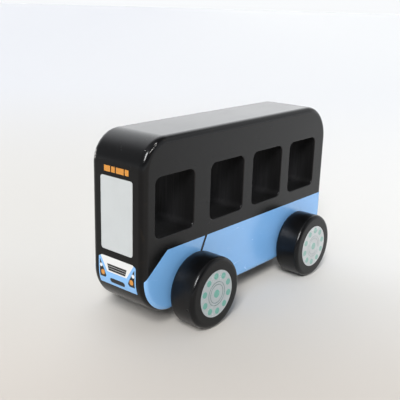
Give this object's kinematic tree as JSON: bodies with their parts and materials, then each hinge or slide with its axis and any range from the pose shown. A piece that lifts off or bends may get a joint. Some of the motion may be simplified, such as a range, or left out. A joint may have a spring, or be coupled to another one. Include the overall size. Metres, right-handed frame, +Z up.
{
  "type": "toy bus",
  "caption": "Wooden toy bus with a black rounded body, cut-through windows, blue printed sides, printed front and freely rolling round-edged wheels on turning axles.",
  "frame": {"origin": "on the ground under the middle of the body, at the bottom centre of the whole toy", "axes": "+X forward (the windscreen faces +X), +Y to the bus's left side, +Z up from the ground to the roof"},
  "size_m": [0.1651, 0.0706, 0.1],
  "materials": {
    "body_lacquer": "black satin lacquer on wood",
    "wheel_lacquer": "black gloss lacquer on turned wood",
    "axle_steel": "bright drawn steel",
    "washer_nylon": "natural nylon",
    "hub_pale": "pale grey print, satin",
    "hub_teal": "teal print, satin",
    "screen_pale": "pale grey print, satin",
    "livery_blue": "light blue print, satin",
    "print_white": "white print, satin",
    "print_dark": "dark print, satin",
    "print_amber": "amber print, satin"
  },
  "bodies": {
    "body": {"left_side_board": "body_lacquer", "core_board": "body_lacquer", "right_side_board": "body_lacquer", "windscreen_print": "screen_pale", "destination_print": "print_amber", "front_panel_print": "livery_blue", "grille_panel_print": "print_white", "grille_print": "print_dark", "bumper_slot_print": "print_dark", "lamp_housing_print": "print_dark", "head_lamp_print": "print_white", "indicator_print": "print_amber", "left_livery_print": "livery_blue", "right_livery_print": "livery_blue"},
    "front_wheelset": {"front_axle": "axle_steel", "front_left_wheel": "wheel_lacquer", "front_right_wheel": "wheel_lacquer", "front_left_washer": "washer_nylon", "front_right_washer": "washer_nylon", "front_left_hub_disc": "hub_pale", "front_right_hub_disc": "hub_pale", "front_left_hub_print": "hub_teal", "front_right_hub_print": "hub_teal"},
    "rear_wheelset": {"rear_axle": "axle_steel", "rear_left_wheel": "wheel_lacquer", "rear_right_wheel": "wheel_lacquer", "rear_left_washer": "washer_nylon", "rear_right_washer": "washer_nylon", "rear_left_hub_disc": "hub_pale", "rear_right_hub_disc": "hub_pale", "rear_left_hub_print": "hub_teal", "rear_right_hub_print": "hub_teal"}
  },
  "joints": [
    {"name": "front_axle_spin", "type": "hinge", "parent": "body", "child": "front_wheelset", "pos_m": [0.047, 0, 0.019], "axis": [0, 1, 0], "continuous": true},
    {"name": "rear_axle_spin", "type": "hinge", "parent": "body", "child": "rear_wheelset", "pos_m": [-0.0475, 0, 0.019], "axis": [0, 1, 0], "continuous": true}
  ]
}
